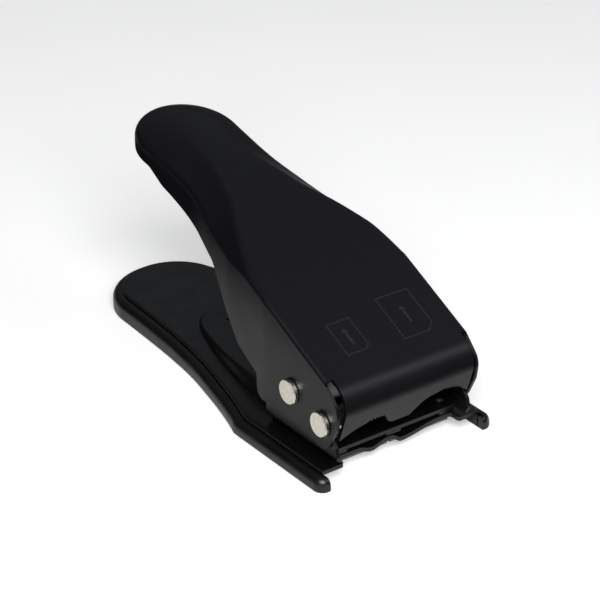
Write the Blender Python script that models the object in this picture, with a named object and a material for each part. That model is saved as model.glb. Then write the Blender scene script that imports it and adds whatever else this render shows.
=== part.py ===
"""A hand cutter for SIM cards. A stamped lever rocks on a front pin, and its rear pin presses two
punches, one for each small card size, down through the floor of a steel frame into two dies that
sit in the stamped base plate. A moulded foot frame goes round the edge of the base plate.

Metres, +Z up. The card slots face -Y, the grip points to +Y. Lengths along the object are measured
from the front tips of the base and then shifted by front_y, so that the origin is the middle of the
bounding box on the table.
"""

import math

import bmesh
import bpy
from mathutils import Matrix, Vector

# Clearances
seat_gap = 0.0003  # between pieces that are fixed against each other, and round the pins
side_play = 0.0002  # between the lever's sides and the frame's cheeks
cut_overrun = 0.006  # how far a cutter runs past what it cuts

# Base plate, one steel stamping
base_sheet = 0.0014
panel_half_width = 0.0308
panel_length = 0.1450
panel_height = 0.0057
panel_straight = 0.0430
tail_radius = 0.0182
tail_rise = 0.0016
tail_rise_start = 0.045
tail_rise_end = 0.120
panel_edge_round = 0.0004
waist_shares = ((0, 1), (0.06, 0.80), (0.155, 0.655), (0.263, 0.51), (0.44, 0.27), (0.61, 0.145), (0.764, 0.075), (1, 0))

# Set-back front edge between the two front tips, with two shallow dips for the fingertips
front_setback = 0.0059
front_tip_inner = 0.0225
front_corner_round = 0.0010
tip_setback = 0.0018  # from the rim's front ends back to the panel's front tips
dip_depth = 0.0010
dip_length = 0.0040
dip_slope = 0.0015
dip_centres = {"nano": -0.0095, "micro": 0.0045}
dip_widths = {"nano": 0.0100, "micro": 0.0130}

# Raised spine of the base plate behind the mechanism, with a small hole near its end
spine_front = 0.0395
spine_end = 0.1050
spine_ramp = 0.0045
spine_height = 0.0042
spine_foot_half_width = 0.0242
spine_top_half_width = 0.0193
spine_foot_shares = ((0, 1), (0.2, 0.94), (0.4, 0.82), (0.585, 0.71), (0.738, 0.59), (0.86, 0.47), (0.94, 0.33), (1, 0.12))
spine_top_shares = ((0, 1), (0.3, 0.92), (0.49, 0.835), (0.66, 0.715), (0.846, 0.52), (0.94, 0.33), (1, 0.08))
spine_height_shares = ((0, 1), (0.3, 1), (0.49, 0.81), (0.66, 0.6), (0.846, 0.28), (1, 0))
spine_wall_shares = ((1, 1), (0.86, 0.93), (0.14, 0.07), (0, 0))  # across the wall, from its top edge to its foot
spine_room_share = 0.9  # the spine never takes more than this much of the panel's half width
hanging_hole_radius = 0.00275
hanging_hole_y = 0.0955

# Foot frame, one moulding round the edge of the base plate
rim_reach = 0.0034  # how far it stands out past the edge of the panel
rim_step = 0.0011  # from the panel's upper face down to the rim's
rim_wall = 0.0046
rim_round = 0.0015
rim_bottom_round = 0.0006
rim_end_round = 0.0026  # in plan, at the two front ends
rim_end_shares = (0, 0.08, 0.30, 0.62, 1)

# Lever, one steel stamping
lever_sheet = 0.0011
lever_half_width = 0.02754
notch_y = 0.0052
notch_z = 0.0339
lever_slope = math.radians(25.3)
bend_start = 0.032
tip_slope = math.radians(5.2)
lever_end = 0.1340
tip_radius = 0.0180
neck_start = 0.0360
shoulder_drop = 0.0052
fold_radius = 0.0015
grip_fold_radius = 0.0028
crease_share = 0.015  # half the width of the bend between the flat strip and a shoulder
fan_share = 0.35  # how the sections spread out round the end of the grip
grip_width_shares = (
    (0, 1), (0.16, 0.89), (0.275, 0.786), (0.363, 0.629), (0.4675, 0.419),
    (0.5625, 0.21), (0.6125, 0.105), (0.70, 0), (0.80, -0.04), (0.90, -0.03), (1, 0),
)  # fmt: skip
shoulder_shares = (
    (0, 0), (0.061, 0.14), (0.133, 0.40), (0.184, 0.62), (0.245, 0.81), (0.296, 0.95),
    (0.357, 1.03), (0.418, 1), (0.5, 0.88), (0.6, 0.85), (0.8, 0.78), (1, 0.55),
)  # fmt: skip
crease_shares = (
    (0.082, 0.955), (0.143, 0.94), (0.214, 0.85), (0.291, 0.76), (0.388, 0.62),
    (0.469, 0.565), (0.551, 0.48), (0.704, 0.38), (1, 0.35),
)  # fmt: skip
crown_shares = (0.50, 0.80)  # along the grip, where its creases melt into one crown
fold_soften_shares = (0.25, 0.65)  # along the grip, where its fold grows softer

# Curled nose and apron
curl_radius = 0.0081
curl_corner = 0.00972  # from the notch to where the lines of the top and the apron would meet
apron_lean = math.radians(17.9)
apron_depth = 0.0164

# Arches in the apron's lower edge, above the mouths of the card slots
arch_height = 0.0044
arch_rise_share = 0.57  # the long curved flank at the left of each arch
arch_slope = 0.0022  # length of the short flank at its right
arch_round = 0.0010
arch_inner = {"nano": 0.0045, "micro": 0.0022}
tooth_pitch = 0.0013
tooth_depth = 0.0005
tooth_run_share = 0.8  # of the flat top of an arch

# Lower edge of the ears and skirts: along the lever, up to the notch's height, corner radius
ear_round = 0.0080
skirt_edge_shares = (
    (-0.0085, 0.773, 0.75), (-0.0012, 0.57, 1), (0.0343, 0.274, 0.60), (0.156, 0.434, 1.5),
    (0.302, 0.369, 0.44), (0.305, 0.611, 0.19), (0.388, 0.760, 1), (0.526, 1.363, 1),
    (0.793, 1.696, 1.25), (0.847, 1.829, 0.75), (1.05, 1.985, 0),
)  # fmt: skip
skirt_blank_depth = 0.042

# Pins
pivot_y = 0.0065
pivot_z = 0.0191
drive_pin_y = 0.0223
drive_pin_z = 0.0231
pin_radius = 0.0025
pin_head_radius = 0.00417
pin_stand = 0.0016  # how far a head stands out past the lever's side
pin_head_round = 0.0003
sleeve_radius = 0.0035
spacer_radius = 0.0040
close_angle = math.radians(11)

# Punch frame, a U of steel sheet
slot_height = 0.0014
frame_sheet = 0.0012
frame_bend = 0.0018
frame_back = 0.0370
toe_front = 0.0008
toe_height = 0.0090
toe_bend_shares = (0.29, 0.54)
toe_boss_angle = math.radians(238)
pivot_boss_radius = 0.0055
drive_boss_radius = 0.0060
cheek_rear_height = 0.0130

# Card guide and slots
slot_width = 0.0154
slot_place_share = 0.4585  # of the way from the middle to the end of the punch holder
slot_end = 0.0305
guide_side_gap = 0.00104  # from the guide's side to the inside of a cheek

# Dies
die_front = 0.0088
die_back = 0.0360
die_bottom = 0.0014
die_split = 0.0010
die_side_gap = 0.00124  # from a die's side to the plane of the inside of a cheek
die_land_length = 0.0200
die_land_width = 0.0164

# Punches, in the sizes of the small cards that they cut out
nano_width = 0.0088
nano_length = 0.0123
nano_corner = 0.0017
micro_width = 0.0120
micro_length = 0.0150
micro_corner = 0.0024
punch_rest = 0.0004  # how far above the underside of the frame's floor a punch stands at rest
punch_root = 0.0032
dowel_radius = 0.0008

# Punch holder
spacer_length = 0.00154  # fills the room on the drive pin beside the punch holder
holder_depth = 0.0160
holder_foot = 0.0046
holder_web = 0.0090
holder_top_wall = 0.0020
holder_stop_gap = 0.0004  # left over the frame's floor when the lever is closed

# Return springs and their posts
spring_wire = 0.0005
spring_radius = 0.0016
spring_turns = 5
spring_pocket_depth = 0.0072
post_radius = 0.0009
post_head = 0.0007

# Screws that clamp frame, guide, base plate and dies together
screw_radius = 0.0011
screw_head_radius = 0.0023
screw_head_height = 0.0013
screw_socket_radius = 0.0011
screw_socket_depth = 0.0007
screw_inset = 0.00374  # from the inside of a cheek to the middle of a screw
screw_front = 0.0105
screw_rear = 0.0335

# Roundness of curved pieces
arc_steps = 5
pin_sides = 36
hole_sides = 24

frame_floor = panel_height + slot_height
frame_top = frame_floor + frame_sheet
cheek_outer = lever_half_width - lever_sheet - side_play
cheek_inner = cheek_outer - frame_sheet
apron_half_width = cheek_inner - seat_gap
pin_hole_radius = pin_radius + seat_gap
holder_half_length = cheek_inner - 2 * seat_gap - spacer_length
slot_centre = holder_half_length * slot_place_share
guide_half_width = cheek_inner - guide_side_gap
die_side = cheek_inner - die_side_gap
screw_x = cheek_inner - screw_inset
drive_reach = math.hypot(drive_pin_y - pivot_y, drive_pin_z - pivot_z)
drive_angle = math.atan2(drive_pin_z - pivot_z, drive_pin_y - pivot_y)
press_travel = drive_reach * (math.sin(drive_angle) - math.sin(drive_angle - close_angle))
pin_creep = drive_reach * (math.cos(drive_angle - close_angle) - math.cos(drive_angle))
holder_under = frame_top + press_travel + holder_stop_gap
punch_tip = frame_floor + punch_rest
spring_x = (holder_half_length + slot_centre + micro_width / 2) / 2
spring_low = frame_top + seat_gap
spring_high = holder_under + spring_pocket_depth
tip_centre = lever_end - tip_radius


def clear_scene():
    for obj in list(bpy.data.objects):
        bpy.data.objects.remove(obj, do_unlink=True)


def curl_points():
    """Middle of the nose's outer curve in the side view, where the curve ends, and its corner."""
    along = Vector((math.cos(lever_slope), math.sin(lever_slope)))
    down = Vector((math.sin(apron_lean), -math.cos(apron_lean)))
    corner = Vector((notch_y, notch_z)) - along * curl_corner
    tangent = curl_radius / math.tan(along.angle(down) / 2)
    end = corner + down * tangent
    middle = end + Vector((math.cos(apron_lean), math.sin(apron_lean))) * curl_radius
    return middle, end, corner


nose_y = curl_points()[0].x - curl_radius
front_y = -(panel_length + rim_reach + nose_y) / 2


def material(name, colour, roughness, metallic=0.0):
    made = bpy.data.materials.new(name)
    made.use_nodes = True
    shader = made.node_tree.nodes["Principled BSDF"]
    shader.inputs["Base Color"].default_value = (*colour, 1.0)
    shader.inputs["Roughness"].default_value = roughness
    shader.inputs["Metallic"].default_value = metallic
    return made


def empty(name, y=0.0, z=0.0):
    """A frame for pieces to hang on, at a place measured from the front of the base."""
    made = bpy.data.objects.new(name, None)
    made.location = (0, front_y + y, z)
    bpy.context.collection.objects.link(made)
    return made


def finish(name, bm, finish_material=None, carrier=None, closed=True, smooth=30):
    """Turns a bmesh in base-front coordinates into an object, hung on its carrier."""
    if closed:
        bmesh.ops.recalc_face_normals(bm, faces=bm.faces)
    mesh = bpy.data.meshes.new(name)
    bm.to_mesh(mesh)
    bm.free()
    made = bpy.data.objects.new(name, mesh)
    bpy.context.collection.objects.link(made)
    if carrier:
        mesh.transform(Matrix.Translation((0, front_y - carrier.location.y, -carrier.location.z)))
        made.parent = carrier
    if finish_material:
        mesh.materials.append(finish_material)
    mesh.shade_smooth()
    mesh.set_sharp_from_angle(angle=math.radians(smooth))
    return made


def cut(target, cutter, operation="DIFFERENCE"):
    """Cuts one object by another, which stays in the scene as a wire guide."""
    cutter.hide_render = True
    cutter.display_type = "WIRE"
    modifier = target.modifiers.new(cutter.name, "BOOLEAN")
    modifier.operation = operation
    modifier.solver = "EXACT"
    modifier.object = cutter


def smooth_step(value, start, end):
    share = min(max((value - start) / (end - start), 0), 1)
    return share * share * (3 - 2 * share)


def curve_at(points, place):
    """Height at a place of a smooth curve through points (place, height)."""
    last = len(points) - 1
    place = min(max(place, points[0][0]), points[last][0])
    i = next(k for k in range(last) if place <= points[k + 1][0])
    (x0, y0), (x1, y1) = points[i], points[i + 1]
    before, after = points[max(i - 1, 0)], points[min(i + 2, last)]
    run = x1 - x0
    t = (place - x0) / run
    slope0 = (y1 - before[1]) / (x1 - before[0]) * run
    slope1 = (after[1] - y0) / (after[0] - x0) * run
    start = (1 + 2 * t) * (1 - t) ** 2 * y0 + t * (1 - t) ** 2 * slope0
    return start + t * t * (3 - 2 * t) * y1 - t * t * (1 - t) * slope1


def arc(centre, radius, start, end, steps=arc_steps):
    """Points of an arc in a plane, from one angle to another."""
    angles = [start + (end - start) * i / steps for i in range(steps + 1)]
    return [(centre[0] + radius * math.cos(a), centre[1] + radius * math.sin(a)) for a in angles]


def circle(centre, radius, sides=hole_sides):
    return arc(centre, radius, 0, math.tau, sides)[:-1]


def rounded(corners, closed=True, steps=arc_steps):
    """An outline through corners (u, v, radius), each rounded by an arc that touches both sides."""
    points = []
    count = len(corners)
    for i, (u, v, radius) in enumerate(corners):
        here = Vector((u, v))
        if radius == 0 or (not closed and i in (0, count - 1)):
            points.append((u, v))
            continue
        before = (Vector(corners[i - 1][:2]) - here).normalized()
        after = (Vector(corners[(i + 1) % count][:2]) - here).normalized()
        half = before.angle(after) / 2
        tangent = radius / math.tan(half)
        middle = here + (before + after).normalized() * (radius / math.sin(half))
        first = here + before * tangent - middle
        last = here + after * tangent - middle
        start = math.atan2(first.y, first.x)
        sweep = (math.atan2(last.y, last.x) - start + math.pi) % math.tau - math.pi
        points += arc(middle, radius, start, start + sweep, steps)
    return points


def box_outline(low_u, high_u, low_v, high_v):
    return [(low_u, low_v), (high_u, low_v), (high_u, high_v), (low_u, high_v)]


def prism(name, outline, axis, low, high, finish_material=None, carrier=None):
    """A closed prism: the outline lies across the axis, in the other two coordinates in order."""
    order = {"X": (2, 0, 1), "Y": (0, 2, 1), "Z": (0, 1, 2)}[axis]
    bm = bmesh.new()
    rings = []
    for depth in (low, high):
        corners = [(u, v, depth) for u, v in outline]
        rings.append([bm.verts.new([corner[k] for k in order]) for corner in corners])
    bm.faces.new(rings[0])
    bm.faces.new(list(reversed(rings[1])))
    count = len(outline)
    for i in range(count):
        j = (i + 1) % count
        bm.faces.new((rings[0][i], rings[1][i], rings[1][j], rings[0][j]))
    return finish(name, bm, finish_material, carrier)


def turned(name, profile, centre, axis, finish_material=None, carrier=None, sides=pin_sides):
    """A body turned about an axis: profile points are (radius, height along the axis)."""
    bm = bmesh.new()
    rings = []
    for radius, height in profile:
        ring = []
        for u, v in circle((0, 0), radius, sides) if radius else [(0, 0)]:
            local = {"X": (height, u, v), "Y": (u, height, v), "Z": (u, v, height)}[axis]
            ring.append(bm.verts.new(Vector(centre) + Vector(local)))
        rings.append(ring)
    closed_profile = profile[0][0] != 0
    pairs = list(zip(rings, rings[1:] + rings[:1])) if closed_profile else list(zip(rings, rings[1:]))
    for below, above in pairs:
        for i in range(sides):
            j = (i + 1) % sides
            corners = [below[i % len(below)], below[j % len(below)], above[j % len(above)], above[i % len(above)]]
            bm.faces.new(list(dict.fromkeys(corners)))
    return finish(name, bm, finish_material, carrier)


def tube_profile(inner, outer, low, high):
    return [(inner, low), (outer, low), (outer, high), (inner, high)]


def inward_normals(points):
    """For each point of a right half outline, the direction towards the inside."""
    normals = []
    for i, _ in enumerate(points):
        before = Vector(points[max(i - 1, 0)])
        after = Vector(points[min(i + 1, len(points) - 1)])
        along = (after - before).normalized()
        normals.append(Vector((-along.y, along.x)))
    normals[0] = Vector((-1, 0))
    normals[-1] = Vector((0, -1))
    return normals


def closed_ring(half):
    """A ring round a section from its right half, which starts and ends in the middle plane."""
    left = [(-x, y, z) for x, y, z in reversed(half[1:-1])]
    return half + left


# Base plate and foot frame

def panel_outline():
    """Right half of the panel's edge in plan, from the front tip round to the middle of the tail."""
    tail_middle = panel_length - tail_radius
    points = [(panel_half_width, panel_straight * share) for share in (0, 0.5, 1)]
    waist_steps = 16
    for i in range(1, waist_steps):
        place = i / waist_steps
        width = tail_radius + (panel_half_width - tail_radius) * curve_at(waist_shares, place)
        points.append((width, panel_straight + (tail_middle - panel_straight) * place))
    return points + arc((0, tail_middle), tail_radius, 0, math.pi / 2, 9)


def panel_top(y):
    return panel_height + tail_rise * smooth_step(y, tail_rise_start, tail_rise_end)


def spine_profile(y, room):
    """Points (distance from the middle, height over the panel) across half of the spine."""
    place = (y - spine_front) / (spine_end - spine_front)
    foot = min(spine_foot_half_width * curve_at(spine_foot_shares, place), room * spine_room_share)
    top = min(spine_top_half_width * curve_at(spine_top_shares, place), foot * spine_foot_shares[1][1])
    height = spine_height * curve_at(spine_height_shares, place)
    height *= smooth_step(y, spine_front, spine_front + spine_ramp)
    wall = [(foot + (top - foot) * across, height * up) for across, up in spine_wall_shares]
    return [(0, height), (top / 2, height)] + wall + [((foot + room) / 2, 0), (room, 0)]


def plate_ring(point, normal):
    """Section of the plate that ends at one point of its edge, with a rounded upper edge."""
    point = Vector(point)
    inner = point + normal * panel_edge_round
    top = panel_top(inner.y)
    across = [(x, inner.y, top + height) for x, height in spine_profile(inner.y, inner.x)]
    turn = math.pi / 4
    middle = inner - normal * (panel_edge_round * math.sin(turn))
    edge = [
        (middle.x, middle.y, top - panel_edge_round * (1 - math.cos(turn))),
        (point.x, point.y, top - panel_edge_round),
        (point.x, point.y, top - base_sheet),
    ]
    under = [(x, y, z - base_sheet) for x, y, z in reversed(across)]
    return closed_ring(across + edge + under)


def loft(rings, ends):
    """A body through rings of the same number of points, with the named ends capped."""
    bm = bmesh.new()
    loops = [[bm.verts.new(point) for point in ring] for ring in rings]
    count = len(rings[0])
    for near, far in zip(loops, loops[1:]):
        for i in range(count):
            j = (i + 1) % count
            bm.faces.new((near[i], near[j], far[j], far[i]))
    for end in ends:
        bm.faces.new(loops[end])
    bmesh.ops.remove_doubles(bm, verts=bm.verts, dist=0.00001)
    return bm


def spine_stations(outline):
    """The outline with more points where the spine's front slope and its rounded end need them."""
    extra = [spine_front + spine_ramp * share for share in (0, 0.3, 0.7, 1)]
    points = list(outline)
    for y in extra:
        k = next(i for i in range(1, len(points)) if points[i][1] >= y)
        (x0, y0), (x1, y1) = points[k - 1], points[k]
        if min(y - y0, y1 - y) > panel_edge_round:
            points.insert(k, (x0 + (x1 - x0) * (y - y0) / (y1 - y0), y))
    return points


def screw_places():
    return {
        "front_left": (-screw_x, screw_front),
        "front_right": (screw_x, screw_front),
        "rear_left": (-screw_x, screw_rear),
        "rear_right": (screw_x, screw_rear),
    }


def cut_screw_holes(target, low, high, carrier):
    for name, place in screw_places().items():
        hole = circle(place, screw_radius + seat_gap)
        cut(target, prism(f"{target.name}_{name}_hole", hole, "Z", low, high, carrier=carrier))


def die_land(name):
    """Plan of the raised land of a die: left, right, front and back."""
    middle = {"nano": -slot_centre, "micro": slot_centre}[name]
    half = die_land_width / 2
    return middle - half, middle + half, drive_pin_y - die_land_length / 2, drive_pin_y + die_land_length / 2


def make_base_plate(steel, base):
    """Flat panel with a set-back front edge, windows for the dies, a raised spine and a round tail."""
    outline = spine_stations(panel_outline())
    rings = [plate_ring(point, normal) for point, normal in zip(outline, inward_normals(outline))]
    plate = finish("base_plate", loft(rings, [0]), steel, base)
    low, high = -cut_overrun, panel_height + spine_height + cut_overrun
    far = panel_half_width + cut_overrun
    setback = rounded(
        [
            (-far, -cut_overrun, 0),
            (far, -cut_overrun, 0),
            (far, tip_setback, 0),
            (front_tip_inner, tip_setback, front_corner_round),
            (front_tip_inner, front_setback, front_corner_round),
            (-front_tip_inner, front_setback, front_corner_round),
            (-front_tip_inner, tip_setback, front_corner_round),
            (-far, tip_setback, 0),
        ]
    )
    cut(plate, prism("front_setback", setback, "Z", low, high, carrier=base))
    for name, middle in dip_centres.items():
        half = dip_widths[name] / 2
        floor = panel_height - dip_depth
        dip = [
            (middle - half + dip_slope, floor),
            (middle + half - dip_slope, floor),
            (middle + half + dip_slope, floor + 2 * dip_depth),
            (middle - half - dip_slope, floor + 2 * dip_depth),
        ]
        cut(plate, prism(name + "_dip", dip, "Y", -cut_overrun, front_setback + dip_length, carrier=base))
        left, right, front, back = die_land(name)
        window = box_outline(left - seat_gap, right + seat_gap, front - seat_gap, back + seat_gap)
        cut(plate, prism(name + "_window", window, "Z", low, high, carrier=base))
    hole = circle((0, hanging_hole_y), hanging_hole_radius)
    cut(plate, prism("hanging_hole", hole, "Z", low, high, carrier=base))
    cut_screw_holes(plate, low, high, base)


def rim_section(top, ledge):
    """Section of the foot frame: inward distance from its outer face, and height."""
    shelf = rim_reach - seat_gap
    return rounded(
        [
            (0, 0, rim_bottom_round),
            (0, top, rim_round),
            (shelf, top, 0),
            (shelf, ledge, 0),
            (rim_wall, ledge, 0),
            (rim_wall, 0, rim_bottom_round),
        ],
        steps=4,
    )


def make_foot_frame(plastic, base):
    """Moulded frame that stands on the table and holds the plate's edge on a ledge."""
    outline = panel_outline()
    ends = [(outline[0][0], rim_end_round * share) for share in rim_end_shares]
    outline = ends + outline[1:]
    normals = [Vector((-1, 0))] * len(ends) + inward_normals(outline)[len(ends) :]
    mirrored = [((-p[0], p[1]), Vector((-n.x, n.y))) for p, n in zip(outline, normals)][-2::-1]
    rings = []
    for point, normal in list(zip(outline, normals)) + mirrored:
        outer = Vector(point) - normal * rim_reach
        top = panel_top(point[1])
        ahead = max(rim_end_round - point[1], 0)
        inset = rim_end_round - math.sqrt(rim_end_round**2 - ahead**2)
        shelf = rim_reach - seat_gap
        ring = []
        for inward, up in rim_section(top - rim_step, top - base_sheet - seat_gap):
            if inward < shelf:
                inward = inset + inward * (shelf - inset) / shelf
            ring.append((outer.x + normal.x * inward, outer.y + normal.y * inward, up))
        rings.append(ring)
    finish("foot_frame", loft(rings, [0, -1]), plastic, base)


# Lever

def top_height(y):
    """Height of the middle of the lever's top, straight at first and then bending down to the tip."""
    if y <= bend_start:
        return notch_z + (y - notch_y) * math.tan(lever_slope)
    start = notch_z + (bend_start - notch_y) * math.tan(lever_slope)
    bend = (lever_slope - tip_slope) / (lever_end - bend_start)
    angle = lever_slope - bend * (y - bend_start)
    return start + (math.log(math.cos(angle)) - math.log(math.cos(lever_slope))) / bend


def lever_outline():
    """Right half of the lever's outer edge in plan, from the notch line round to the grip's end."""
    points = [(lever_half_width, notch_y + (neck_start - notch_y) * i / 3) for i in range(3)]
    neck_steps = 17
    for i in range(neck_steps):
        place = i / neck_steps
        width = tip_radius + (lever_half_width - tip_radius) * curve_at(grip_width_shares, place)
        points.append((width, neck_start + (tip_centre - neck_start) * place))
    return points + arc((0, tip_centre), tip_radius, 0, math.pi / 2, 9)


def lever_row(point, normal):
    """From the middle of the top out over the shoulder and the fold, and down to the blank's edge."""
    point = Vector(point)
    place = (point.y - neck_start) / (lever_end - neck_start)
    drop = shoulder_drop * curve_at(shoulder_shares, place)
    apron_share = apron_half_width / (lever_half_width - fold_radius) - crease_share
    crease = curve_at(((0, apron_share),) + crease_shares, place)
    crown = smooth_step(place, *crown_shares)
    radius = fold_radius + (grip_fold_radius - fold_radius) * smooth_step(place, *fold_soften_shares)
    spine = Vector((0, min(point.y, tip_centre) + fan_share * max(point.y - tip_centre, 0)))
    run = (point - spine).length - radius
    lean = math.atan(drop * ((1 - crown) / (1 - crease) + 2 * crown) / run)
    inner = point + normal * (radius * (1 - math.sin(lean)))
    row = []
    for share in (0, crease / 2, crease - crease_share, crease + crease_share, (1 + crease) / 2, 1):
        here = spine + (inner - spine) * share
        fall = (1 - crown) * max(share - crease, 0) / (1 - crease) + crown * share * share
        row.append((here.x, here.y, top_height(here.y) - drop * fall))
    fold_z = row[-1][2] - radius * math.cos(lean)
    fold_steps = 4
    for i in range(1, fold_steps + 1):
        angle = (math.pi / 2 - lean) * (1 - i / fold_steps)
        here = point + normal * (radius * (1 - math.cos(angle)))
        row.append((here.x, here.y, fold_z + radius * math.sin(angle)))
    row.append((point.x, point.y, fold_z - skirt_blank_depth))
    return row


def nose_profile():
    """Side view of the outer face from the notch round the curl to the apron's lower edge."""
    centre, end, corner = curl_points()
    points = arc(centre, curl_radius, math.pi / 2 + lever_slope, math.pi + apron_lean, 9)
    lower = corner + Vector((math.sin(apron_lean), -math.cos(apron_lean))) * apron_depth
    return points + [tuple(lower)]


def lever_surface():
    """Outer face of the lever: top and skirts, the curled nose, and blanks for the ears' fronts."""
    bm = bmesh.new()
    rows = []
    outline = lever_outline()
    for point, normal in zip(outline, inward_normals(outline)):
        right = lever_row(point, normal)
        left = [(-x, y, z) for x, y, z in reversed(right[1:])]
        rows.append([bm.verts.new(place) for place in left + right])
    for near, far in zip(rows, rows[1:]):
        for j in range(len(near) - 1):
            bm.faces.new((near[j], near[j + 1], far[j + 1], far[j]))
    first = rows[0]
    row = [vert for vert in first if abs(vert.co.x) <= apron_half_width + side_play]
    for y, z in nose_profile():
        new = [bm.verts.new((vert.co.x, y, z)) for vert in row]
        for j in range(len(row) - 1):
            bm.faces.new((new[j], new[j + 1], row[j + 1], row[j]))
        row = new
    for pair in ((first[0], first[1]), (first[-2], first[-1])):
        ahead = [bm.verts.new((v.co.x, v.co.y - curl_radius - side_play, v.co.z)) for v in pair]
        bm.faces.new((ahead[0], ahead[1], pair[1], pair[0]))
    bmesh.ops.remove_doubles(bm, verts=bm.verts, dist=0.00001)
    return bm


def skirt_cutter(lever):
    """What lies in front of the ears and below the ears and skirts, but for the apron's width."""
    start = notch_y - seat_gap
    corners = [(start, notch_z + cut_overrun, 0), (start, notch_z - fold_radius, fold_radius / 2)]
    corners += [(lever_end * along, notch_z * up, ear_round * turn) for along, up, turn in skirt_edge_shares]
    edge = rounded(corners, closed=False)
    ahead, below = start - 3 * curl_radius, -2 * cut_overrun
    outline = [(ahead, edge[0][1])] + edge + [(edge[-1][0], below), (ahead, below)]
    far = lever_half_width + cut_overrun
    cutter = prism("skirt_edge", outline, "X", -far, far, carrier=lever)
    between = (apron_half_width + lever_half_width - lever_sheet) / 2
    room = box_outline(-between, between, ahead - cut_overrun, bend_start)
    cut(cutter, prism("apron_room", room, "Z", below - cut_overrun, notch_z + 2 * cut_overrun, carrier=lever))
    return cutter


def arch_outline(name, lower):
    """One arch in the apron's lower edge: a long curved rise, a toothed top and a short fall at the right."""
    left, right = {
        "nano": (-apron_half_width, -arch_inner["nano"]),
        "micro": (arch_inner["micro"], apron_half_width),
    }[name]
    top = lower + arch_height
    rise = (right - left) * arch_rise_share
    points = [(left, lower - cut_overrun)]
    rise_steps = 7
    for i in range(rise_steps):
        place = i / rise_steps
        points.append((left + rise * place, lower + arch_height * math.sin(place * math.pi / 2)))
    flat = right - arch_slope - left - rise
    count = int(flat * tooth_run_share / tooth_pitch)
    for i in range(count):
        start = left + rise + i * tooth_pitch
        points += [(start, top), (start + tooth_pitch / 2, top + tooth_depth)]
    fall = [
        (left + rise + count * tooth_pitch, top, 0),
        (right - arch_slope, top, arch_round),
        (right, lower, 0),
        (right, lower - cut_overrun, 0),
    ]
    return points + rounded(fall, closed=False, steps=4)


def make_lever(steel, lever):
    shell = finish("lever_shell", lever_surface(), steel, lever, closed=False)
    gauge = shell.modifiers.new("gauge", "SOLIDIFY")
    gauge.thickness = lever_sheet
    gauge.offset = -1
    gauge.use_even_offset = True
    cut(shell, skirt_cutter(lever))
    lower = nose_profile()[-1][1]
    for name in arch_inner:
        arch = prism(name + "_arch", arch_outline(name, lower), "Y", nose_y - cut_overrun, pivot_y, carrier=lever)
        cut(shell, arch)
    far = lever_half_width + cut_overrun
    for name, y, z in (("pivot_hole", pivot_y, pivot_z), ("drive_hole", drive_pin_y, drive_pin_z)):
        cut(shell, prism(name, circle((y, z), pin_hole_radius), "X", -far, far, carrier=lever))


def make_pin(name, y, z, steel, lever):
    """Headed pin right across the lever, with both heads standing out of its ears."""
    inner = lever_half_width + seat_gap
    outer = lever_half_width + pin_stand
    half = [
        (pin_radius, inner),
        (pin_head_radius, inner),
        (pin_head_radius, outer - pin_head_round),
        (pin_head_radius - pin_head_round, outer),
        (0, outer),
    ]
    profile = [(radius, -place) for radius, place in reversed(half)] + half
    turned(name, profile, (0, y, z), "X", steel, lever)


def make_sleeve_and_spacers(steel, lever):
    """Tube on the pivot pin between the cheeks, and a ring on each side of the punch holder."""
    reach = cheek_inner - seat_gap
    sleeve = tube_profile(pin_hole_radius, sleeve_radius, -reach, reach)
    turned("pivot_sleeve", sleeve, (0, pivot_y, pivot_z), "X", steel, lever)
    low, high = holder_half_length + seat_gap, reach
    for name, side in (("drive_spacer_left", -1), ("drive_spacer_right", 1)):
        ring = tube_profile(pin_hole_radius, spacer_radius, side * low, side * high)
        turned(name, ring, (0, drive_pin_y, drive_pin_z), "X", steel, lever)


# Punch frame and card guide

def cheek_outline():
    """Side view of a cheek: a toe under the apron, a boss round each pin, and a low rear end."""
    pivot, drive = Vector((pivot_y, pivot_z)), Vector((drive_pin_y, drive_pin_z))
    first = arc(pivot, pivot_boss_radius, toe_boss_angle, math.pi, 3)[0]
    bend_y = toe_front + (first[0] - toe_front) * toe_bend_shares[0]
    bend_z = toe_height + (first[1] - toe_height) * toe_bend_shares[1]
    tilt = math.atan2(drive.y - pivot.y, drive.x - pivot.x)
    lean = tilt + math.acos((pivot_boss_radius - drive_boss_radius) / (drive - pivot).length)
    points = [(toe_front, frame_floor), (toe_front, toe_height), (bend_y, bend_z)]
    points += arc(pivot, pivot_boss_radius, toe_boss_angle, lean, 10)
    points += arc(drive, drive_boss_radius, lean, 0, 8)
    return points + [(frame_back, cheek_rear_height), (frame_back, frame_floor)]


def drive_slot_outline():
    """Slot in a cheek along the drive pin's path about the pivot, with round ends."""
    centre = (pivot_y, pivot_z)
    low, high = drive_angle - close_angle, drive_angle
    points = arc(centre, drive_reach + pin_hole_radius, low, high, 6)
    end = arc(centre, drive_reach, high, low, 1)[0]
    points += arc(end, pin_hole_radius, high, high + math.pi, 10)[1:-1]
    points += arc(centre, drive_reach - pin_hole_radius, high, low, 6)
    start = arc(centre, drive_reach, low, high, 1)[0]
    return points + arc(start, pin_hole_radius, low + math.pi, low + math.tau, 10)[1:-1]


def card_outline(name, clearance):
    """A small card with one cut corner, under its slot, with a clearance all round."""
    side, width, length, corner = {
        "nano": (-1, nano_width, nano_length, nano_corner),
        "micro": (1, micro_width, micro_length, micro_corner),
    }[name]
    middle = side * slot_centre
    left, right = middle - width / 2 - clearance, middle + width / 2 + clearance
    front, back = drive_pin_y - length / 2 - clearance, drive_pin_y + length / 2 + clearance
    return [(left, front), (right - corner, front), (right, front + corner), (right, back), (left, back)]


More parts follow.
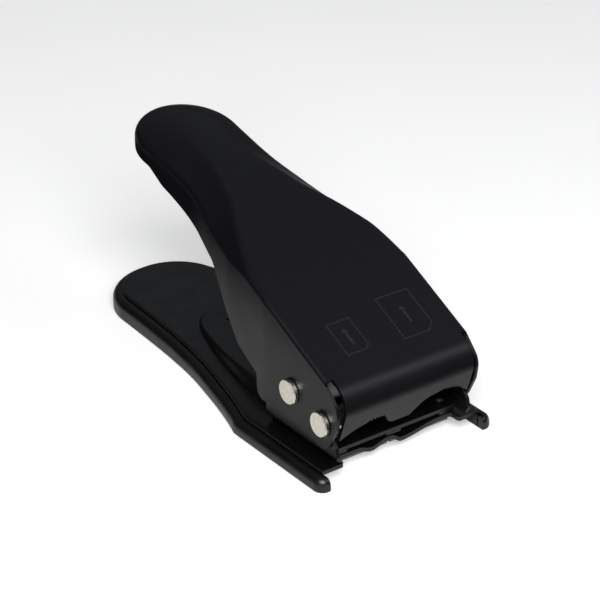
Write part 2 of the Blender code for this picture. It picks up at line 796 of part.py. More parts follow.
def make_punch_frame(steel, base):
    """U of sheet: floor over the card slots, two cheeks with a pivot hole and a curved slot."""
    top = drive_pin_z + drive_boss_radius + cut_overrun
    channel = rounded(
        [
            (-cheek_outer, top, 0),
            (-cheek_outer, frame_floor, frame_bend),
            (cheek_outer, frame_floor, frame_bend),
            (cheek_outer, top, 0),
            (cheek_inner, top, 0),
            (cheek_inner, frame_top, frame_bend - frame_sheet),
            (-cheek_inner, frame_top, frame_bend - frame_sheet),
            (-cheek_inner, top, 0),
        ]
    )
    frame = prism("punch_frame", channel, "Y", toe_front - cut_overrun, frame_back + cut_overrun, steel, base)
    side = cheek_outline()
    side[0] = (side[0][0], frame_floor - cut_overrun)
    side[-1] = (side[-1][0], frame_floor - cut_overrun)
    far = cheek_outer + cut_overrun
    cut(frame, prism("cheek_side_view", side, "X", -far, far, carrier=base), "INTERSECT")
    flat = cheek_outer - frame_bend
    mouth = box_outline(-flat, flat, toe_front - 2 * cut_overrun, front_setback)
    low, high = frame_floor - cut_overrun, frame_top + cut_overrun
    cut(frame, prism("frame_mouth", mouth, "Z", low, high, carrier=base))
    cut(frame, prism("cheek_pivot_hole", circle((pivot_y, pivot_z), pin_hole_radius), "X", -far, far, carrier=base))
    cut(frame, prism("cheek_drive_slot", drive_slot_outline(), "X", -far, far, carrier=base))
    for name in ("nano", "micro"):
        cut(frame, prism(name + "_floor_window", card_outline(name, seat_gap), "Z", low, high, carrier=base))
    for side_name, x in (("left", -spring_x), ("right", spring_x)):
        hole = circle((x, drive_pin_y), post_radius + seat_gap)
        cut(frame, prism(f"post_{side_name}_hole", hole, "Z", low, high, carrier=base))
    cut_screw_holes(frame, low, high, base)


def make_card_guide(steel, base):
    """E-shaped strip that keeps the slots open, guides the card's sides and stops its end."""
    inner = slot_centre - slot_width / 2
    outer = slot_centre + slot_width / 2
    front = front_setback + seat_gap
    right = [
        (inner, front),
        (inner, slot_end),
        (outer, slot_end),
        (outer, front),
        (guide_half_width, front),
        (guide_half_width, frame_back),
    ]
    outline = right + [(-x, y) for x, y in reversed(right)]
    low, high = panel_height + seat_gap, frame_floor - seat_gap
    guide = prism("card_guide", outline, "Z", low, high, steel, base)
    cut_screw_holes(guide, low - cut_overrun, high + cut_overrun, base)


def make_dies(steel, base):
    """Each die is a flange under the panel with a land that fills its window, level with the panel."""
    top = panel_height - base_sheet - seat_gap
    for name, side in (("nano", -1), ("micro", 1)):
        near, far = sorted((side * die_split / 2, side * die_side))
        die = prism(name + "_die", box_outline(near, far, die_front, die_back), "Z", die_bottom, top, steel, base)
        land = box_outline(*die_land(name))
        middle = (die_bottom + top) / 2
        cut(die, prism(name + "_die_land", land, "Z", middle, panel_height, carrier=base), "UNION")
        low, high = die_bottom - cut_overrun, panel_height + cut_overrun
        cut(die, prism(name + "_die_opening", card_outline(name, seat_gap), "Z", low, high, carrier=base))
        cut_screw_holes(die, low, high, base)


def make_screws(steel, base):
    """Round-head screws with a hexagon socket, from the frame's floor down into the dies."""
    under = frame_top + seat_gap
    top = under + screw_head_height
    for name, place in screw_places().items():
        profile = [
            (0, die_bottom + seat_gap),
            (screw_radius, die_bottom + seat_gap),
            (screw_radius, under),
            (screw_head_radius, under),
            (screw_head_radius, top - screw_head_height / 2),
            (screw_head_radius - screw_head_height / 4, top),
            (0, top),
        ]
        screw = turned("frame_screw_" + name, profile, (*place, 0), "Z", steel, base, sides=16)
        socket = circle(place, screw_socket_radius, 6)
        cutter = prism(name + "_socket", socket, "Z", top - screw_socket_depth, top + cut_overrun, carrier=base)
        cut(screw, cutter)


# Punch holder, punches and springs

def make_punch_holder(steel, press):
    """Inverted T: a foot that holds the punches, and a web with a cross slot for the drive pin."""
    foot_top = holder_under + holder_foot
    web_top = drive_pin_z + pin_hole_radius + holder_top_wall
    section = [
        (drive_pin_y - holder_depth / 2, holder_under),
        (drive_pin_y + holder_depth / 2, holder_under),
        (drive_pin_y + holder_depth / 2, foot_top),
        (drive_pin_y + holder_web / 2, foot_top),
        (drive_pin_y + holder_web / 2, web_top),
        (drive_pin_y - holder_web / 2, web_top),
        (drive_pin_y - holder_web / 2, foot_top),
        (drive_pin_y - holder_depth / 2, foot_top),
    ]
    holder = prism("punch_holder", section, "X", -holder_half_length, holder_half_length, steel, press)
    far = holder_half_length + cut_overrun
    front, back = drive_pin_y, drive_pin_y + pin_creep
    slot = arc((front, drive_pin_z), pin_hole_radius, math.pi / 2, 3 * math.pi / 2, 10)
    slot += arc((back, drive_pin_z), pin_hole_radius, -math.pi / 2, math.pi / 2, 10)
    cut(holder, prism("holder_cross_slot", slot, "X", -far, far, carrier=press))
    low = holder_under - cut_overrun
    for name in ("nano", "micro"):
        pocket = card_outline(name, seat_gap)
        high = holder_under + punch_root + seat_gap
        cut(holder, prism(name + "_punch_pocket", pocket, "Z", low, high, carrier=press))
        cut(holder, dowel_cutter(name, name + "_holder_bore", press))
    for side_name, x in (("left", -spring_x), ("right", spring_x)):
        pocket = circle((x, drive_pin_y), spring_radius + spring_wire / 2 + side_play)
        cut(holder, prism(f"spring_{side_name}_pocket", pocket, "Z", low, spring_high, carrier=press))


def dowel_place(name):
    x = {"nano": -slot_centre, "micro": slot_centre}[name]
    return x, holder_under + punch_root / 2


def dowel_cutter(name, cutter_name, press):
    reach = holder_depth / 2 + cut_overrun
    hole = circle(dowel_place(name), dowel_radius + seat_gap, 16)
    return prism(cutter_name, hole, "Y", drive_pin_y - reach, drive_pin_y + reach, carrier=press)


def make_punches(steel, bright, press):
    """Each punch is a block in the shape of its card, held in the holder by a dowel."""
    for name in ("nano", "micro"):
        outline = card_outline(name, 0)
        punch = prism(name + "_punch", outline, "Z", punch_tip, holder_under + punch_root, steel, press)
        cut(punch, dowel_cutter(name, name + "_punch_bore", press))
        x, z = dowel_place(name)
        reach = holder_depth / 2 - seat_gap
        profile = [(0, -reach), (dowel_radius, -reach), (dowel_radius, reach), (0, reach)]
        turned(name + "_punch_dowel", profile, (x, drive_pin_y, z), "Y", bright, press, sides=16)


def make_spring_post(name, x, steel, base):
    """Headed stub in the frame's floor that keeps a spring upright."""
    low = frame_floor + seat_gap
    high = spring_high - press_travel - seat_gap
    profile = [
        (0, low),
        (post_radius, low),
        (post_radius, high - post_head),
        (post_radius / 2, high),
        (0, high),
    ]
    turned(name, profile, (x, drive_pin_y, 0), "Z", steel, base, sides=16)


def make_spring(name, x, steel, base):
    """Compression spring, a round wire on a helix, from the floor up into the holder's pocket."""
    low = spring_low + spring_wire / 2
    high = spring_high - seat_gap - spring_wire / 2
    per_turn, sides = 12, 6
    steps = spring_turns * per_turn
    rings = []
    for i in range(steps + 1):
        angle = math.tau * i / per_turn
        outward = Vector((math.cos(angle), math.sin(angle), 0))
        middle = Vector((x, drive_pin_y, low + (high - low) * i / steps)) + outward * spring_radius
        wire = circle((0, 0), spring_wire / 2, sides)
        rings.append([tuple(middle + outward * u + Vector((0, 0, v))) for u, v in wire])
    finish(name, loft(rings, [0, -1]), steel, base, smooth=80)


def main():
    clear_scene()
    satin_black = material("satin_black_coated_steel", (0.012, 0.012, 0.014), 0.42)
    gloss_black = material("gloss_black_coated_steel", (0.010, 0.010, 0.011), 0.24)
    black_plastic = material("black_moulded_plastic", (0.012, 0.012, 0.012), 0.32)
    bright = material("nickel_plated_steel", (0.62, 0.60, 0.56), 0.28, 1.0)
    ground = material("ground_tool_steel", (0.42, 0.42, 0.42), 0.35, 1.0)
    blackened = material("blackened_steel", (0.03, 0.03, 0.03), 0.40, 1.0)
    base = empty("base_front")
    lever = empty("lever_hinge", pivot_y, pivot_z)
    press = empty("press_slide", drive_pin_y, drive_pin_z)
    make_foot_frame(black_plastic, base)
    make_base_plate(gloss_black, base)
    make_punch_frame(satin_black, base)
    make_card_guide(gloss_black, base)
    make_dies(ground, base)
    make_screws(blackened, base)
    for side, x in (("left", -spring_x), ("right", spring_x)):
        make_spring_post("spring_post_" + side, x, bright, base)
        make_spring("return_spring_" + side, x, bright, base)
    make_lever(satin_black, lever)
    make_pin("pivot_pin", pivot_y, pivot_z, bright, lever)
    make_pin("drive_pin", drive_pin_y, drive_pin_z, bright, lever)
    make_sleeve_and_spacers(bright, lever)
    make_punch_holder(ground, press)
    make_punches(ground, bright, press)


main()
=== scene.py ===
import math

import bmesh
import bpy
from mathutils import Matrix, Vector


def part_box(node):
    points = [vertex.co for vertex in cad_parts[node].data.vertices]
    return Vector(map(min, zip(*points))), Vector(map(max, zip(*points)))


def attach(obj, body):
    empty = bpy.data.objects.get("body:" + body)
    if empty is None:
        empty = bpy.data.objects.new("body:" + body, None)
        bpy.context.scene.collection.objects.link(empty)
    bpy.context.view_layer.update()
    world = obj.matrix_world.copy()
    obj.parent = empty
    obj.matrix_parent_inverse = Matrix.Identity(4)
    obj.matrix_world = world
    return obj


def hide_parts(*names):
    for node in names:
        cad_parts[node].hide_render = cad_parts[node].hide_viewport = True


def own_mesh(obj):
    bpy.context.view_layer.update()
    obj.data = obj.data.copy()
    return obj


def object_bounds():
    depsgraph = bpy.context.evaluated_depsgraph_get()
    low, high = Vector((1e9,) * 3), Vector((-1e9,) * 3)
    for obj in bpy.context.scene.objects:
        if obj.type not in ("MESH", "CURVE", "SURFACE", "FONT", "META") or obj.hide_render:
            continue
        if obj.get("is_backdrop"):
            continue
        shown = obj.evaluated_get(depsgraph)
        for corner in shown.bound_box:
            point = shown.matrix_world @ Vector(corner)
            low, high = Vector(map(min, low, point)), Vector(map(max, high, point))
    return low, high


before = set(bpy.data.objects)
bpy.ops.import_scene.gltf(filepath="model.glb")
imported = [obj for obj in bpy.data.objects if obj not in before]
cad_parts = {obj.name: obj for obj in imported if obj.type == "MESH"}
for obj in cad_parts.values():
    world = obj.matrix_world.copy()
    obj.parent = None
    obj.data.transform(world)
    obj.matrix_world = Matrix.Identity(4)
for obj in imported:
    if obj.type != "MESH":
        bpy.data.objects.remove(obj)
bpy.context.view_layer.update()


# Foot rim
# One ring moulded in glass-filled nylon. It goes round the edge of the pressed base plate from one front tip
# round the tail to the other, and the cutter stands on its flat underside.

base_sheet, seat_gap = 0.0014, 0.0003
panel_half_width, panel_length, panel_height, panel_straight = 0.0308, 0.1450, 0.0057, 0.0430
tail_radius, tail_rise, tail_rise_start, tail_rise_end = 0.0182, 0.0016, 0.045, 0.120
waist_shares = (  # place from the straight front to the tail, and how much of the extra width is left there
    (0, 1), (0.06, 0.865), (0.155, 0.685), (0.263, 0.515),
    (0.44, 0.275), (0.61, 0.145), (0.764, 0.075), (1, 0),
)
rim_reach, rim_step, rim_wall, rim_front = 0.0034, 0.0011, 0.0042, -0.0013
rim_round, rim_bottom_round, rim_end_round = 0.0028, 0.0004, 0.0030
rim_end_height_share = 0.45  # height of the rim's very tip as a share of the height behind it
overrun = 0.006  # how far a cutter stands out past what it cuts
front_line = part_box("foot_frame")[0].y  # row Y of the base's front tips


def linear(colour):
    """sRGB hex to the linear colour that the shaders take."""
    parts = [int(colour[i : i + 2], 16) / 255 for i in (1, 3, 5)]
    return tuple(c / 12.92 if c <= 0.04045 else ((c + 0.055) / 1.055) ** 2.4 for c in parts) + (1,)


def add_node(material, kind, settings=(), links=()):
    """Adds a node. A capitalised setting is a socket's value, stops are a ramp's and any other is a property.
    A link comes from a socket, or from a node's first output."""
    node = material.node_tree.nodes.new(kind)
    for name, value in dict(settings).items():
        if name == "stops":
            for stop, (place, colour) in zip(node.color_ramp.elements, value):
                stop.position, stop.color = place, linear(colour)
        elif name[0].isupper():
            node.inputs[name].default_value = value
        else:
            setattr(node, name, value)
    for name, source in dict(links).items():
        socket = source.outputs[0] if isinstance(source, bpy.types.Node) else source
        material.node_tree.links.new(socket, node.inputs[name])
    return node


def surface(name):
    """An empty material, and the points of the object that its patterns are laid out on."""
    material = bpy.data.materials.new(name)
    material.use_nodes = True
    material.node_tree.nodes.clear()
    return material, add_node(material, "ShaderNodeTexCoord").outputs["Object"]


def ease(value, start, end):
    """0 before the start, 1 past the end, and a soft S between them."""
    share = min(max((value - start) / (end - start), 0), 1)
    return share * share * (3 - 2 * share)


def curve_at(points, place):
    """Height at a place of a smooth curve through points (place, height)."""
    last = len(points) - 1
    place = min(max(place, points[0][0]), points[last][0])
    i = next(k for k in range(last) if place <= points[k + 1][0])
    (x0, y0), (x1, y1) = points[i], points[i + 1]
    before, after = points[max(i - 1, 0)], points[min(i + 2, last)]
    run = x1 - x0
    t = (place - x0) / run
    rise0 = (y1 - before[1]) / (x1 - before[0]) * run
    rise1 = (after[1] - y0) / (after[0] - x0) * run
    start = (1 + 2 * t) * (1 - t) ** 2 * y0 + t * (1 - t) ** 2 * rise0
    return start + t * t * (3 - 2 * t) * y1 - t * t * (1 - t) * rise1


def arc(centre, radius, start, end, steps):
    """Points on an arc between two angles, both ends included."""
    angles = [start + (end - start) * i / steps for i in range(steps + 1)]
    return [(centre[0] + radius * math.cos(a), centre[1] + radius * math.sin(a)) for a in angles]


def rounded(corners, steps=10):
    """An open outline through corners (u, v, radius), each rounded by an arc that touches both sides."""
    points = [corners[0][:2]]
    for before, (u, v, radius), after in zip(corners, corners[1:], corners[2:]):
        if radius == 0:
            points.append((u, v))
            continue
        here = Vector((u, v))
        back, on = (Vector(before[:2]) - here).normalized(), (Vector(after[:2]) - here).normalized()
        half = back.angle(on) / 2
        tangent = radius / math.tan(half)
        middle = here + (back + on).normalized() * (radius / math.sin(half))
        first, last = here + back * tangent - middle, here + on * tangent - middle
        start = math.atan2(first.y, first.x)
        sweep = (math.atan2(last.y, last.x) - start + math.pi) % math.tau - math.pi
        points += arc(middle, radius, start, start + sweep, steps)
    return points + [corners[-1][:2]]


def inward_normals(points):
    """The way in at each point of a right half outline: straight across at the first, forward at the last."""
    normals = []
    for i in range(len(points)):
        along = (Vector(points[min(i + 1, len(points) - 1)]) - Vector(points[max(i - 1, 0)])).normalized()
        normals.append(Vector((-along.y, along.x)))
    return [Vector((-1, 0))] + normals[1:-1] + [Vector((0, -1))]


def piece_from(name, mesh, material=None):
    """An object from a bmesh that was laid out from the base's front tips."""
    data = bpy.data.meshes.new(name)
    for vert in mesh.verts:
        vert.co.y += front_line
    mesh.to_mesh(data)
    mesh.free()
    if material:
        data.materials.append(material)
    piece = bpy.data.objects.new(name, data)
    bpy.context.collection.objects.link(piece)
    return piece


def loft(rings, material, name, closed=True):
    """A body through rings of as many points each, capped at its ends or closed on itself in the middle."""
    mesh = bmesh.new()
    loops = [[mesh.verts.new(point) for point in ring] for ring in rings]
    for near, far in zip(loops, loops[1:]):
        for i in range(len(near)):
            j = (i + 1) % len(near)
            mesh.faces.new((near[i], near[j], far[j], far[i]))
    mesh.faces.new(loops[0])
    if closed:
        mesh.faces.new(loops[-1])
    bmesh.ops.remove_doubles(mesh, verts=mesh.verts, dist=0.00001)
    bmesh.ops.recalc_face_normals(mesh, faces=mesh.faces)
    return piece_from(name, mesh, material)


def smooth(piece, angle=30):
    """Shades the piece smooth but for edges sharper than the angle in degrees."""
    piece.data.shade_smooth()
    piece.data.set_sharp_from_angle(angle=math.radians(angle))


def panel_outline():
    """Right half of the panel's edge in plan, from the front tip round to the middle of the tail."""
    tail_middle = panel_length - tail_radius
    front_steps, waist_steps = 36, 64
    points = [(panel_half_width, panel_straight * i / front_steps) for i in range(front_steps + 1)]
    for i in range(1, waist_steps):
        width = tail_radius + (panel_half_width - tail_radius) * curve_at(waist_shares, i / waist_steps)
        points.append((width, panel_straight + (tail_middle - panel_straight) * i / waist_steps))
    return points + arc((0, tail_middle), tail_radius, 0, math.pi / 2, 30)


def panel_top(y):
    """Height of the flat panel, which rises a little towards the tail."""
    return panel_height + tail_rise * ease(y, tail_rise_start, tail_rise_end)


def rim_section(top, ledge):
    """Distance in from the outer face, and height: a low lip, a round shoulder and a ledge for the plate."""
    shelf = rim_reach - seat_gap
    turn = min(rim_round, top - 2 * rim_bottom_round)
    ring = rounded([(rim_wall, 0, 0), (0, 0, rim_bottom_round), (0, top, turn), (shelf, top, 0)])
    return ring + [(shelf, ledge), (rim_wall, ledge)]


# Moulded glass-filled nylon from a spark-eroded tool: a fine even grain that spreads the light a little, so
# the black looks soft on the flat and bright only along its rounded edges.
nylon_cloud, nylon_gloss_patch = 0.006, 0.004
nylon_grain = 0.0004  # coarser than the real grain of about 0.1 mm, so that it shows
middle_noise = {"From Min": 0.3, "From Max": 0.7}  # a noise pattern hardly leaves this range
nylon, points = surface("moulded_glass_filled_nylon")
clouds = add_node(nylon, "ShaderNodeTexNoise", {"Scale": 1 / nylon_cloud}, {"Vector": points})
stops = ((0.3, "#080808"), (0.7, "#0d0d0d"))
colour = add_node(nylon, "ShaderNodeValToRGB", {"stops": stops}, {"Fac": clouds})
patches = add_node(nylon, "ShaderNodeTexNoise", {"Scale": 1 / nylon_gloss_patch}, {"Vector": points})
limits = {**middle_noise, "To Min": 0.30, "To Max": 0.40}
gloss = add_node(nylon, "ShaderNodeMapRange", limits, {"Value": patches})
grains = add_node(nylon, "ShaderNodeTexNoise", {"Scale": 1 / nylon_grain}, {"Vector": points})
relief = add_node(nylon, "ShaderNodeBump", {"Distance": 0.000012}, {"Height": grains})
look = {"Base Color": colour, "Roughness": gloss, "Normal": relief}
shader = add_node(nylon, "ShaderNodeBsdfPrincipled", {"IOR": 1.53}, look)
add_node(nylon, "ShaderNodeOutputMaterial", links={"Surface": shader})

# The panel's edge, carried on forwards to the rim's own front end in steps that get finer towards the tip.
steps = 12
ends = [rim_front + rim_end_round * (1 - math.cos(math.pi / 2 * i / steps)) for i in range(1, steps + 1)]
outline = [(panel_half_width, y) for y in ends] + panel_outline()[1:]
normals = [Vector((-1, 0))] * len(ends) + inward_normals(outline)[len(ends) :]
mirrored = [((-p[0], p[1]), Vector((-n.x, n.y))) for p, n in zip(outline, normals)][-2::-1]
rings = []
for point, normal in list(zip(outline, normals)) + mirrored:
    outer = Vector(point) - normal * rim_reach
    ahead = max(rim_front + rim_end_round - point[1], 0)
    bulge = math.sqrt(rim_end_round**2 - ahead**2) / rim_end_round
    inset, shelf = rim_end_round * (1 - bulge), rim_reach - seat_gap
    top = (panel_top(point[1]) - rim_step) * (rim_end_height_share + (1 - rim_end_height_share) * bulge)
    ledge = min(panel_top(point[1]) - base_sheet - seat_gap, top - rim_bottom_round / 2)
    ring = []
    for inward, up in rim_section(top, ledge):
        if inward < shelf:
            inward = inset + inward * (shelf - inset) / shelf
        ring.append((outer.x + normal.x * inward, outer.y + normal.y * inward, up))
    rings.append(ring)
rim = loft(rings, nylon, "rim_moulding")
smooth(rim, 35)
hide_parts("foot_frame")
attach(rim, "base")


# Base plate
# A flat panel and a raised spine pressed from one steel sheet, then dipped in black electrocoat and baked.
# The folded U of the punch frame and the flat card guide that stand on it are coated in the same bath.

panel_edge_round = 0.0005
front_setback, front_tip_inner, front_corner_round, tip_setback = 0.0059, 0.0225, 0.0010, 0.0018
dip_flat, dip_length = 0.0010, 0.0070
dips = ((-0.0140, -0.0087, -0.0030, 0.0014), (-0.0010, 0.0028, 0.0180, 0.0019))  # left, lowest, right, depth
spine_front, spine_end, spine_ramp, spine_height = 0.0395, 0.1050, 0.0045, 0.0042
spine_foot_half_width, spine_top_half_width, spine_room_share = 0.0242, 0.0193, 0.9
spine_foot_shares = (  # place along the spine, and half the width at its foot
    (0, 1), (0.2, 0.94), (0.4, 0.82), (0.585, 0.71), (0.738, 0.59), (0.86, 0.47), (0.94, 0.33), (1, 0.12),
)
spine_top_shares = (  # place along the spine, and half the width of its flat top
    (0, 1), (0.3, 0.92), (0.49, 0.835), (0.66, 0.715), (0.846, 0.52), (0.94, 0.33), (1, 0.08),
)
spine_height_shares = ((0, 1), (0.3, 1), (0.49, 0.81), (0.66, 0.6), (0.846, 0.28), (1, 0))
window_middle, window_width, window_front, window_back = 0.0105, 0.0170, 0.0120, 0.0326
screw_places = [(x, y) for x in (-0.0213, 0.0213) for y in (0.0105, 0.0335)]
screw_hole, hanging_hole, hanging_hole_y = 0.0014, 0.0013, 0.0940


def prism(outline, axis, low, high):
    """A closed prism: the outline lies across the axis, in the other two coordinates in order."""
    order = {"X": (2, 0, 1), "Y": (0, 2, 1), "Z": (0, 1, 2)}[axis]
    mesh = bmesh.new()
    rings = []
    for depth in (low, high):
        corners = [(u, v, depth) for u, v in outline]
        rings.append([mesh.verts.new([corner[k] for k in order]) for corner in corners])
    mesh.faces.new(rings[0])
    mesh.faces.new(rings[1][::-1])
    for i in range(len(outline)):
        j = (i + 1) % len(outline)
        mesh.faces.new((rings[0][i], rings[1][i], rings[1][j], rings[0][j]))
    bmesh.ops.recalc_face_normals(mesh, faces=mesh.faces)
    return piece_from("cutter", mesh)


def cut_all(piece, cutters):
    """Cuts the piece by each cutter and keeps only the result."""
    for cutter in cutters:
        modifier = piece.modifiers.new("cut", "BOOLEAN")
        modifier.object = cutter
        modifier.solver = "EXACT"
    graph = bpy.context.evaluated_depsgraph_get()
    result = bpy.data.meshes.new_from_object(piece.evaluated_get(graph))
    piece.modifiers.clear()
    piece.data = result
    for cutter in cutters:
        for other in {modifier.object for modifier in cutter.modifiers} | {cutter}:
            bpy.data.objects.remove(other, do_unlink=True)
    smooth(piece)


def dress(material, *nodes):
    """Gives the material to nodes of the frame."""
    for name in nodes:
        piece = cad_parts[name]
        piece.data.materials.clear()
        piece.data.materials.append(material)


def plate_ring(point, normal):
    """Section of the plate that ends at a point of its edge: over the spine, and back along the underside."""
    point = Vector(point)
    inner = point + normal * panel_edge_round
    room, top = inner.x, panel_top(inner.y)
    place = (inner.y - spine_front) / (spine_end - spine_front)
    foot = min(spine_foot_half_width * curve_at(spine_foot_shares, place), room * spine_room_share)
    brow = min(spine_top_half_width * curve_at(spine_top_shares, place), foot * spine_foot_shares[1][1])
    height = spine_height * curve_at(spine_height_shares, place)
    height *= ease(inner.y, spine_front, spine_front + spine_ramp)
    top_steps, flank_steps, flat_steps, edge_steps = 30, 12, 5, 4
    across = [(brow * i / top_steps, height) for i in range(top_steps)]
    for i in range(flank_steps + 1):
        fall = 0.5 + 0.5 * math.cos(math.pi * i / flank_steps)
        across.append((brow + (foot - brow) * i / flank_steps, height * fall))
    across += [(foot + (room - foot) * i / flat_steps, 0) for i in range(1, flat_steps + 1)]
    half = [(x, inner.y, top + up) for x, up in across]
    for i in range(1, edge_steps + 1):
        turn = math.pi / 2 * i / edge_steps
        edge = inner - normal * (panel_edge_round * math.sin(turn))
        half.append((edge.x, edge.y, top - panel_edge_round * (1 - math.cos(turn))))
    half.append((point.x, point.y, top - base_sheet))
    half += [(x, inner.y, top + up - base_sheet) for x, up in reversed(across)]
    return half + [(-x, y, z) for x, y, z in reversed(half[1:-1])]


# Electrocoat on cold-rolled steel: thin, even and semi-gloss, with a faint orange peel from the baking that
# makes reflections waver.
coat_cloud, coat_gloss_patch = 0.012, 0.007
peel = 0.0022  # from crest to crest of the orange peel
coat, points = surface("black_electrocoated_steel")
clouds = add_node(coat, "ShaderNodeTexNoise", {"Scale": 1 / coat_cloud}, {"Vector": points})
stops = ((0.3, "#070707"), (0.7, "#0b0b0c"))
colour = add_node(coat, "ShaderNodeValToRGB", {"stops": stops}, {"Fac": clouds})
patches = add_node(coat, "ShaderNodeTexNoise", {"Scale": 1 / coat_gloss_patch}, {"Vector": points})
limits = {**middle_noise, "To Min": 0.25, "To Max": 0.36}
gloss = add_node(coat, "ShaderNodeMapRange", limits, {"Value": patches})
waves = add_node(coat, "ShaderNodeTexNoise", {"Scale": 1 / peel, "Detail": 1.0}, {"Vector": points})
relief = add_node(coat, "ShaderNodeBump", {"Distance": 0.000010}, {"Height": waves})
look = {"Base Color": colour, "Roughness": gloss, "Normal": relief}
shader = add_node(coat, "ShaderNodeBsdfPrincipled", {"IOR": 1.5}, look)
add_node(coat, "ShaderNodeOutputMaterial", links={"Surface": shader})
dress(coat, "punch_frame", "card_guide")

# The ramp at the spine's front is short, so more rows are put in there between the outline's own.
outline = panel_outline()
ramp_row, nearest = 0.15, 0.0002
for row in range(1, 7):
    y = spine_front + spine_ramp * ramp_row * row
    k = next(i for i in range(len(outline)) if outline[i][1] >= y)
    (x0, y0), (x1, y1) = outline[k - 1], outline[k]
    if min(y - y0, y1 - y) > nearest:
        outline.insert(k, (x0 + (x1 - x0) * (y - y0) / (y1 - y0), y))
rings = [plate_ring(point, normal) for point, normal in zip(outline, inward_normals(outline))]
plate = loft(rings, coat, "base_stamping", closed=False)
for vert in plate.data.vertices:
    x = vert.co.x
    back = 1 - ease(vert.co.y - front_line, front_setback + dip_flat, front_setback + dip_length)
    for left, lowest, right, depth in dips:
        share = (x - left) / (lowest - left) if x < lowest else (right - x) / (right - lowest)
        vert.co.z -= depth * back * ease(share, 0, 1)
far = panel_half_width + overrun
low_cut, high_cut = -overrun, panel_height + spine_height + overrun
setback = rounded([
    (-far, -overrun, 0),
    (far, -overrun, 0),
    (far, tip_setback, 0),
    (front_tip_inner, tip_setback, front_corner_round),
    (front_tip_inner, front_setback, front_corner_round),
    (-front_tip_inner, front_setback, front_corner_round),
    (-front_tip_inner, tip_setback, front_corner_round),
    (-far, tip_setback, 0),
])
cutters = [prism(setback, "Z", low_cut, high_cut)]
for middle in (-window_middle, window_middle):
    left, right = middle - window_width / 2, middle + window_width / 2
    window = ((left, window_front), (right, window_front), (right, window_back), (left, window_back))
    cutters.append(prism(window, "Z", low_cut, high_cut))
hanging_hole_edge = arc((0, hanging_hole_y), hanging_hole, 0, math.tau, 40)[:-1]
cutters.append(prism(hanging_hole_edge, "Z", low_cut, high_cut))
for place in screw_places:
    cutters.append(prism(arc(place, screw_hole, 0, math.tau, 24)[:-1], "Z", low_cut, high_cut))
cut_all(plate, cutters)
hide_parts("base_plate")
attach(plate, "base")


# Dies, punches and punch holder
# Tool steel, hardened and then ground flat where card or punch slides on it. All of it sits under the lever,
# where it shows only through the arches and the slots.

# Ground tool steel: fine straight lines left by the wheel, a cool grey that streaks the light along them.
grinding_line, line_stretch = 0.0003, 0.04  # coarser than the real lines of about 0.05 mm, so that they show
ground, points = surface("ground_tool_steel")
along = add_node(ground, "ShaderNodeMapping", {"Scale": (1, line_stretch, 1)}, {"Vector": points})
lines = add_node(ground, "ShaderNodeTexNoise", {"Scale": 1 / grinding_line}, {"Vector": along})
height = add_node(ground, "ShaderNodeMapRange", {**middle_noise, "To Min": 0, "To Max": 1}, {"Value": lines})
stops = ((0, "#63666a"), (1, "#84878a"))
colour = add_node(ground, "ShaderNodeValToRGB", {"stops": stops}, {"Fac": height})
limits = {**middle_noise, "To Min": 0.28, "To Max": 0.42}
gloss = add_node(ground, "ShaderNodeMapRange", limits, {"Value": lines})
relief = add_node(ground, "ShaderNodeBump", {"Distance": 0.000006}, {"Height": height})
look = {"Base Color": colour, "Roughness": gloss, "Normal": relief}
shader = add_node(ground, "ShaderNodeBsdfPrincipled", {"Metallic": 1.0}, look)
add_node(ground, "ShaderNodeOutputMaterial", links={"Surface": shader})
dress(ground, "nano_die", "micro_die", "nano_punch", "micro_punch", "punch_holder")


# Lever
# One steel stamping: flat top, curled nose with an arched apron, side skirts and a crowned grip, drawn and
# folded from one blank 1.1 mm thick. It is powder coated after forming and turns on the front pin.

lever_sheet, lever_half_width = 0.0011, 0.02754
notch_y, notch_z = 0.0052, 0.0339  # the line where the nose starts, from the base's front tips
lever_slope, tip_slope = math.radians(25.3), math.radians(5.2)
bend_start, neck_start, lever_end = 0.032, 0.036, 0.134
tip_radius, shoulder_drop = 0.018, 0.0052
fold_radius, grip_fold_radius = 0.0015, 0.0028
crease_share, crease_blend_share, fan_share = 0.015, 0.05, 0.35
grip_width_shares = (  # place along the grip, and how much of the extra width is left there
    (0, 1), (0.16, 0.89), (0.275, 0.786), (0.363, 0.629), (0.4675, 0.419),
    (0.5625, 0.21), (0.6125, 0.105), (0.70, 0), (0.80, -0.04), (0.90, -0.03), (1, 0),
)
shoulder_shares = (  # place along the grip, and the shoulder's drop as a share of its full one
    (0, 0), (0.061, 0.14), (0.133, 0.40), (0.184, 0.62), (0.245, 0.81), (0.296, 0.95),
    (0.357, 1.03), (0.418, 1), (0.5, 0.88), (0.6, 0.85), (0.8, 0.78), (1, 0.55),
)
crease_shares = (  # place along the grip, and how far out the crease lies
    (0.082, 0.955), (0.143, 0.94), (0.214, 0.85), (0.291, 0.76), (0.388, 0.62),
    (0.469, 0.565), (0.551, 0.48), (0.704, 0.38), (1, 0.35),
)
crown_shares, fold_soften_shares = (0.50, 0.80), (0.25, 0.65)
curl_radius, curl_corner = 0.0081, 0.00972
apron_lean, apron_depth, apron_half_width = math.radians(17.9), 0.0164, 0.02474
nano_arch_heights = (  # place from the arch's left to its right, and height above the apron's lower edge
    (0, 0), (0.1, 0.0013), (0.29, 0.0029), (0.5, 0.0038),
    (0.7, 0.0040), (0.82, 0.0034), (0.91, 0.0010), (1, 0),
)
micro_arch_heights = (
    (0, 0), (0.05, 0.0012), (0.2, 0.0040), (0.43, 0.0054),
    (0.6, 0.0053), (0.79, 0.0042), (0.93, 0.0024), (1, 0.0012),
)
arches = ((-apron_half_width, -0.0045, nano_arch_heights), (0.0022, apron_half_width, micro_arch_heights))
tooth_pitch, tooth_depth, teeth_start, teeth_end = 0.0014, 0.0008, 0.46, 0.86
